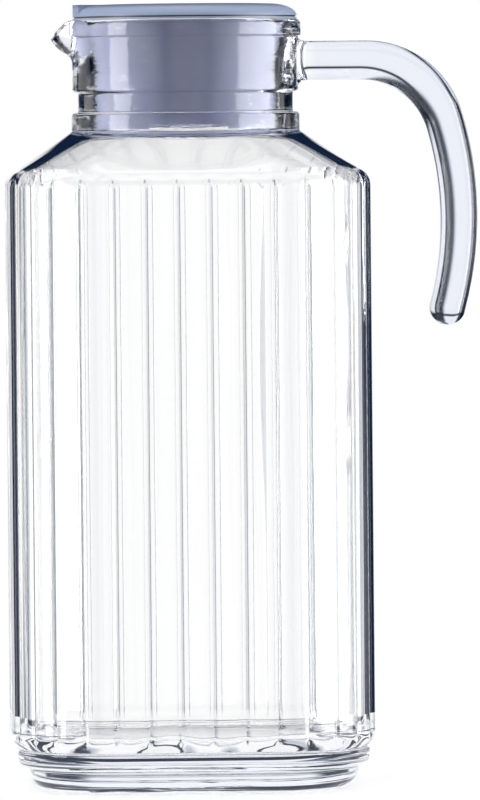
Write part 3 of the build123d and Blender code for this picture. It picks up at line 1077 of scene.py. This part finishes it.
# %% [markdown]
# Two finger wells with a bar between them make the grip, and each is a half moon. It
# could be a cylinder cut in two, but a bevel of its corners would meet the curve badly.
# So the outline is drawn by spinning a vertex round its corners and its long arc, and
# then it is raised.

# %% Lid: half moons
ARC_STEPS, CORNER_STEPS = 48, 6


def half_moon(radius, start_y, bottom, top, side, corner):
    """A D-shaped block on one side of the bar, with rounded corners if asked."""
    block = bmesh.new()
    reach = math.sqrt((radius - corner) ** 2 - (start_y + corner) ** 2)
    tilt = math.atan2(start_y + corner, reach)
    first = block.verts.new((reach, start_y, bottom))
    tip = [first]
    bends = [((0, 0, bottom), math.pi - 2 * tilt, ARC_STEPS)]
    if corner:
        corner_angle = tilt + RIGHT_ANGLE
        right, left = [((x, start_y + corner, bottom), corner_angle, CORNER_STEPS) for x in (reach, -reach)]
        bends = [right, *bends, left]
    for centre, angle, steps in bends:
        swept = bmesh.ops.spin(
            block, geom=tip, cent=centre, axis=(0, 0, 1), dvec=(0, 0, 0), angle=angle, steps=steps
        )
        tip = [item for item in swept["geom_last"] if isinstance(item, bmesh.types.BMVert)]
    block.edges.new((tip[0], first))
    bmesh.ops.contextual_create(block, geom=block.edges[:])
    raise_faces(block, top - bottom)
    bmesh.ops.scale(block, vec=(1, side, 1), verts=block.verts)
    bmesh.ops.recalc_face_normals(block, faces=block.faces)
    return block


print("steps of a half moon's arc:", ARC_STEPS)

# %% [markdown]
# A moulded well has a wall of its own under the deck and a rounded floor edge. A shell
# modifier would thicken the whole lid, so slightly larger half moons are added to the
# lid first, and the wells are cut out of them, which leaves that wall.

# %% Lid: finger wells
WELL_R, WELL_DEEP, BAR_HALF, WELL_ROUND, WELL_SOFT = 22.0, 15.0, 5.0, 3.0, 1.2
POCKET_UNDER, WELL_OVER = 1.0, 5
ON_BOTTOM = 0.01


def soften_under(block, bottom):
    """Round the edges at the bottom of a block."""
    under = [e for e in block.edges if all(abs(v.co.z - bottom) < ON_BOTTOM for v in e.verts)]
    bmesh.ops.bevel(
        block,
        geom=under,
        offset=WELL_SOFT,
        offset_type="OFFSET",
        segments=3,
        profile=0.5,
        affect="EDGES",
        material=-1,
    )


well_floor = LID_TOP - WELL_DEEP
for side in (-1, 1):
    pocket = half_moon(
        WELL_R + LID_WALL, BAR_HALF - LID_WALL, well_floor - LID_WALL, LID_TOP - POCKET_UNDER, side, 0
    )
    combine(plug_lid, new_piece("pocket", pocket, lid_finish), "UNION")
for side in (-1, 1):
    well = half_moon(WELL_R, BAR_HALF, well_floor, LID_TOP + WELL_OVER, side, WELL_ROUND)
    soften_under(well, well_floor)
    combine(plug_lid, new_piece("well", well, lid_finish), "DIFFERENCE")

# %% [markdown]
# The skirt has a shallow notch in its lower edge, as some plug lids have. Moving vertices
# of the spun skirt would bend it, so a plain block cuts the notch.

# %% Lid: notch in the skirt
NOTCH_WIDE, NOTCH_HIGH = 23.0, 1.6
notch = bmesh.new()
bmesh.ops.create_cube(notch, size=1.0)
bmesh.ops.scale(notch, vec=(NOTCH_WIDE, BORE_R, 2 * NOTCH_HIGH), verts=notch.verts)
bmesh.ops.translate(notch, vec=(0, -BORE_R, SKIRT_Z), verts=notch.verts)
combine(plug_lid, new_piece("notch", notch, lid_finish), "DIFFERENCE")

# %% [markdown]
# No moulded edge is sharp. A bevel modifier would stop at the short edges that booleans
# leave, so these are merged first, and then the rims on top are bevelled in the mesh.
# An edge that is left with no face is deleted. Corners past 35 degrees stay sharp in the
# shading, and the rest is smooth.

# %% Lid: soft rims
MERGE, RIM_SOFT, SHARP = 0.02, 0.4, math.radians(35)
soft_lid = bmesh.new()


def merge_short_edges():
    """Merge what a boolean or a bevel left closer together than MERGE."""
    bmesh.ops.remove_doubles(soft_lid, verts=soft_lid.verts, dist=MERGE * MM)
    bmesh.ops.dissolve_degenerate(soft_lid, edges=soft_lid.edges, dist=MERGE * MM)


def on_lid_top(edge):
    """True for an edge that lies in the top of the lid."""
    return all(abs(v.co.z - LID_TOP * MM) < MERGE * MM for v in edge.verts)


soft_lid.from_mesh(plug_lid.data)
merge_short_edges()
rims = [e for e in soft_lid.edges if e.calc_face_angle(0) > SHARP and on_lid_top(e)]
bmesh.ops.bevel(
    soft_lid,
    geom=rims,
    offset=RIM_SOFT * MM,
    offset_type="OFFSET",
    segments=3,
    profile=0.5,
    affect="EDGES",
    clamp_overlap=True,
    material=-1,
)
merge_short_edges()
bmesh.ops.delete(soft_lid, geom=[e for e in soft_lid.edges if e.is_wire], context="EDGES")
print("lid rims softened:", len(rims), "open edges:", sum(e.is_boundary for e in soft_lid.edges))
soft_lid.to_mesh(plug_lid.data)
soft_lid.free()
plug_lid.data.shade_smooth()
plug_lid.data.set_sharp_from_angle(angle=SHARP)
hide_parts("lid")
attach(plug_lid, "lid")

# %% [markdown]
# The floor is a plain pale disc. A white floor under enough light to look white would
# also flood the glass, so part of its white is its own glow and the rest is a matte
# surface, which keeps the shadow of the object. Rays through the glass pass it by and
# see the studio, so its dark cards draw the base too.

# %% Floor
FLOOR_SHARE, FLOOR_LIGHT = 0.35, 0.87
FLOOR_R, FLOOR_GAP, FLOOR_STEPS = 220, 0.05, 128
pale_floor, floor_nodes = new_material("pale_floor")
floor_path = add_node(floor_nodes, "LightPath").outputs
floor_seen = add_node(
    floor_nodes,
    "Math",
    {0: floor_path["Is Camera Ray"], 1: floor_path["Is Glossy Ray"]},
    operation="MAXIMUM",
)
matte = add_node(floor_nodes, "BsdfDiffuse", {"Color": linear("#e9ecf2")})
pale = add_node(floor_nodes, "BsdfDiffuse", {"Color": (FLOOR_SHARE, FLOOR_SHARE, FLOOR_SHARE, 1)})
glow = add_node(floor_nodes, "Emission", {"Color": WHITE, "Strength": 1 - FLOOR_SHARE * FLOOR_LIGHT})
shadowed = add_node(floor_nodes, "AddShader", {0: pale, 1: glow})
lit_floor = add_node(floor_nodes, "MixShader", {0: floor_seen, 1: matte, 2: shadowed})
open_floor = add_node(floor_nodes, "BsdfTransparent")
through_glass = add_node(
    floor_nodes, "MixShader", {0: floor_path["Is Transmission Ray"], 1: lit_floor, 2: open_floor}
)
add_node(floor_nodes, "OutputMaterial", {"Surface": through_glass})
disc = bmesh.new()
bmesh.ops.create_circle(disc, cap_ends=True, segments=FLOOR_STEPS, radius=FLOOR_R)
bmesh.ops.translate(disc, vec=(0, 0, -FLOOR_GAP), verts=disc.verts)
floor = new_piece("floor", disc, pale_floor)

# %% [markdown]
# Clear glass shows the room. Lamps would show in it as spots, so a photographer puts a
# white field behind it and dark cards beside the field, and the cards draw its edges.
# The whole studio is one world here, drawn by direction. A bearing is counted from the
# far side of the object, and a wave of eight beats places the cards between the eight
# main directions, so that the object reads as well from the side and the back.

# %% Studio: directions
CARD_BEATS = 8.0
world = bpy.data.worlds.new("studio")
scene.world = world
world.use_nodes = True
studio = world.node_tree
studio.nodes.clear()
direction = add_node(studio, "TexCoord").outputs["Generated"]
heading = add_node(studio, "SeparateXYZ", {0: direction}).outputs
bearing = add_node(studio, "Math", {0: heading["X"], 1: heading["Y"]}, operation="ARCTAN2")
off_centre = add_node(studio, "Math", {0: bearing}, operation="ABSOLUTE")
beats = add_node(studio, "Math", {0: bearing, 1: CARD_BEATS}, operation="MULTIPLY")
wave = add_node(studio, "Math", {0: beats}, operation="COSINE")
steepness = add_node(studio, "Math", {0: heading["Z"]}, operation="ABSOLUTE")
sideways = add_node(studio, "Math", {0: heading["X"]}, operation="ABSOLUTE")
path = add_node(studio, "LightPath").outputs
mirrored = add_node(studio, "Math", {0: path["Glossy Depth"], 1: AT_LEAST_ONCE}, operation="GREATER_THAN")
unmirrored = add_node(studio, "Math", {0: 1.0, 1: mirrored}, operation="SUBTRACT")
print("dark cards round the object:", int(CARD_BEATS))

# %% [markdown]
# Every card, flag and softbox has soft edges, as things out of focus have. An entry with
# two numbers fades in from the first to the second. One with four is a band, which fades
# in and then out again. Heights run from -1, straight down, to 1, straight up.

# %% Studio: soft edges
DEGREE = math.radians(1)
SOFT_EDGES = {
    "field": (wave, 1, -1.0, 0.1),
    "line": (wave, 1, -0.985, -0.8),
    "card": (wave, 1, -0.3, -0.9),
    "beside": (off_centre, DEGREE, 55, 68),
    "flag": (off_centre, DEGREE, 10, 19, 36, 40),
    "above_table": (heading["Z"], 1, -0.3, -0.22),
    "middle": (off_centre, DEGREE, 30, 18),
    "broad_ring": (heading["Z"], 1, 0.13, 0.28, 0.6, 0.7),
    "thin_ring": (heading["Z"], 1, 0.17, 0.23, 0.25, 0.31),
    "under": (heading["Z"], 1, -0.82, -0.78, -0.75, -0.71),
    "low_room": (heading["Z"], 1, -0.54, -0.46, -0.18, -0.1),
    "off_middle": (off_centre, DEGREE, 16, 28),
    "high_room": (heading["Z"], 1, 0.1, 0.18, 0.71, 0.79),
    "far_half": (off_centre, DEGREE, 95, 75),
    "right_room": (bearing, DEGREE, 29, 35, 47, 53),
    "right_box": (bearing, DEGREE, 75, 81, 123, 129),
    "left_box": (bearing, DEGREE, -120, -116, -97, -93),
    "past_box": (steepness, 1, 0.35, 0.5),
    "overhead": (heading["Z"], 1, 0.5, 0.95),
}
edge = {}
for name, (value, unit, *places) in SOFT_EDGES.items():
    fades = []
    for start, end in zip(places[::2], places[1::2]):
        ends = {"Value": value, "From Min": start * unit, "From Max": end * unit}
        fades.append(add_node(studio, "MapRange", ends, interpolation_type="SMOOTHSTEP"))
    edge[name] = fades[0]
    if len(fades) == 2:
        edge[name] = add_node(studio, "Math", {0: fades[0], 1: fades[1]}, operation="SUBTRACT")
print("soft edges in the studio:", len(edge))

# %% [markdown]
# Dark things draw the form. A flag stands on each side of the middle, a ring above draws
# the shoulder, thinner in the middle, and a line below draws the foot. The wide cards at
# the sides are for rays that go straight through the glass, and draw its edges in the
# views from the side and from behind.

# %% Studio: cards seen through the glass
cards = add_node(studio, "Math", {0: edge["card"], 1: edge["beside"]}, operation="MULTIPLY")
cards = add_node(studio, "Math", {0: cards, 1: unmirrored}, operation="MULTIPLY")
flags = add_node(studio, "Math", {0: edge["flag"], 1: edge["above_table"]}, operation="MULTIPLY")
thinner = add_node(studio, "Math", {0: edge["thin_ring"], 1: edge["broad_ring"]}, operation="SUBTRACT")
ring = add_node(
    studio, "Math", {0: edge["middle"], 1: thinner, 2: edge["broad_ring"]}, operation="MULTIPLY_ADD"
)
under = add_node(studio, "Math", {0: edge["under"], 1: edge["middle"]}, operation="MULTIPLY")
print("the ring is thin within", SOFT_EDGES["middle"][3], "degrees of the middle")

# %% [markdown]
# Rays that were mirrored see two things that the others do not. A dark room in the far
# half gives the glass its black lines, and a bright softbox on the right and one on the
# left give the hook and the neck their highlights. A softbox that straight rays saw too
# would bleach the view from behind.

# %% Studio: room and softboxes in the mirrorings
low_room = add_node(studio, "Math", {0: edge["low_room"], 1: edge["off_middle"]}, operation="MULTIPLY")
room = add_node(studio, "Math", {0: edge["high_room"], 1: low_room}, operation="ADD")
room = add_node(studio, "Math", {0: room, 1: edge["far_half"]}, operation="MULTIPLY")
room = add_node(studio, "Math", {0: room, 1: edge["right_room"]}, operation="MAXIMUM")
room = add_node(studio, "Math", {0: room, 1: mirrored}, operation="MULTIPLY")
box_rows = add_node(studio, "Math", {0: 1.0, 1: edge["past_box"]}, operation="SUBTRACT")
box_rows = add_node(studio, "Math", {0: box_rows, 1: mirrored}, operation="MULTIPLY")
both_boxes = add_node(studio, "Math", {0: edge["right_box"], 1: edge["left_box"]}, operation="ADD")
boxes = add_node(studio, "Math", {0: box_rows, 1: both_boxes}, operation="MULTIPLY")
print("right softbox in degrees:", SOFT_EDGES["right_box"][2:])

# %% [markdown]
# The layers are laid over each other from the back to the front: the field, pale grey
# between its beats, then lines, cards, flags, ring, room and softboxes. The dark ones
# are a deep blue, which gives clear glass its cool cast.

# %% Studio: what the glass shows
BOX_EXTRA = 5.5
shown = linear("#b3bccb")
shown = add_node(studio, "Mix", {"Factor": edge["field"], "A": shown, "B": WHITE}, data_type="RGBA")
shown = add_node(
    studio, "Mix", {"Factor": edge["line"], "A": linear("#0f1b30"), "B": shown}, data_type="RGBA"
)
for share, colour in (
    (cards, "#16233a"),
    (flags, "#16233a"),
    (ring, "#0c1728"),
    (under, "#1a2233"),
    (room, "#12213a"),
    (boxes, "#ffffff"),
):
    shown = add_node(
        studio, "Mix", {"Factor": share, "A": shown, "B": linear(colour)}, data_type="RGBA"
    )
brightness = add_node(studio, "Math", {0: boxes, 1: BOX_EXTRA, 2: 1.0}, operation="MULTIPLY_ADD")
glass_view = add_node(studio, "Background", {"Color": shown, "Strength": brightness})
print("strength of a softbox:", 1 + BOX_EXTRA)

# %% [markdown]
# The lid sits inside the neck, so its light comes through the glass. It gets two bright
# strips, one on each side, and a faint violet from everywhere else, which draws the plug
# as a round form. Things outside the glass get soft light from the sides and above.

# %% Studio: light on the lid and the floor
STRIPS = {78: (0.76, 0.94, 17.0), -78: (0.8, 0.95, 15.0)}
STRIP_WHITE, VIOLET_LEVEL = 9.0, 0.17
SIDE_START, SIDE_END, SIDE_DIM, SIDE_BRIGHT = 0.7, 0.97, 0.45, 2.2
strips = []
for degrees, (start, end, strength) in STRIPS.items():
    facing = (math.sin(degrees * DEGREE), math.cos(degrees * DEGREE), 0)
    toward = add_node(studio, "VectorMath", {0: direction, 1: facing}, operation="DOT_PRODUCT")
    ends = {"Value": toward, "From Min": start, "From Max": end, "To Max": strength}
    strips.append(add_node(studio, "MapRange", ends, interpolation_type="SMOOTHSTEP"))
strip = add_node(studio, "Math", {0: strips[0], 1: strips[1]}, operation="ADD")
ends = {"Value": strip, "From Min": 0.0, "From Max": STRIP_WHITE}
bright = add_node(studio, "MapRange", ends, interpolation_type="SMOOTHSTEP")
strip_colour = add_node(
    studio, "Mix", {"Factor": bright, "A": linear("#8484d8"), "B": WHITE}, data_type="RGBA"
)
strip_light = add_node(studio, "Math", {0: strip, 1: VIOLET_LEVEL}, operation="ADD")
lid_light = add_node(studio, "Background", {"Color": strip_colour, "Strength": strip_light})
ends = {"Value": sideways, "From Min": SIDE_START, "From Max": SIDE_END}
side_ends = {**ends, "To Min": SIDE_DIM, "To Max": SIDE_BRIGHT}
side_light = add_node(studio, "MapRange", side_ends, interpolation_type="SMOOTHSTEP")
soft_light = add_node(studio, "Math", {0: side_light, 1: edge["overhead"]}, operation="ADD")
open_light = add_node(studio, "Background", {"Color": WHITE, "Strength": soft_light})
print("light strips for the lid, in degrees:", list(STRIPS))

# %% [markdown]
# Last, each ray gets its own part of the studio: the camera sees plain white, a ray that
# comes through glass sees the cards or, once the lid has scattered it, the strips, and
# all others get the open light.

# %% Studio: one view for each ray
bent = add_node(
    studio, "Math", {0: path["Is Glossy Ray"], 1: path["Is Transmission Ray"]}, operation="MAXIMUM"
)
scattered = add_node(
    studio, "Math", {0: path["Diffuse Depth"], 1: AT_LEAST_ONCE}, operation="GREATER_THAN"
)
through = add_node(studio, "MixShader", {0: scattered, 1: glass_view, 2: lid_light})
unseen = add_node(studio, "MixShader", {0: bent, 1: open_light, 2: through})
backdrop = add_node(studio, "Background", {"Color": WHITE, "Strength": 1.0})
seen = add_node(studio, "MixShader", {0: path["Is Camera Ray"], 1: unseen, 2: backdrop})
add_node(studio, "OutputWorld", {"Surface": seen})
print("studio nodes:", len(studio.nodes))

# %% [markdown]
# The camera stands well back with a long lens, level with the foot of the neck and looking
# slightly down, as in a catalogue picture. A near camera would look down into the foot
# and up at the lid. The roll is the small lean that the picture has.

# %% Camera
CAMERA_AWAY, CAMERA_UP, CAMERA_AZIMUTH, CAMERA_ROLL = 3000, 206.2, -2.13, -0.52
AIM = (16.56, 0, 122.27)
SENSOR, LENS, FAR = 36, 423.5, 100
lens = bpy.data.cameras.new("camera")
lens.sensor_width = SENSOR
lens.lens = LENS
lens.clip_end = FAR
camera = bpy.data.objects.new("camera", lens)
scene.collection.objects.link(camera)
around = math.radians(CAMERA_AZIMUTH)
spot = Vector((CAMERA_AWAY * math.sin(around), -CAMERA_AWAY * math.cos(around), CAMERA_UP)) * MM
look = (Vector(AIM) * MM - spot).to_track_quat("-Z", "Y").to_matrix()
camera.location = spot
camera.rotation_euler = (look @ Matrix.Rotation(math.radians(CAMERA_ROLL), 3, "Z")).to_euler()
scene.camera = camera
print("camera at, in metres:", [round(length, 3) for length in spot])
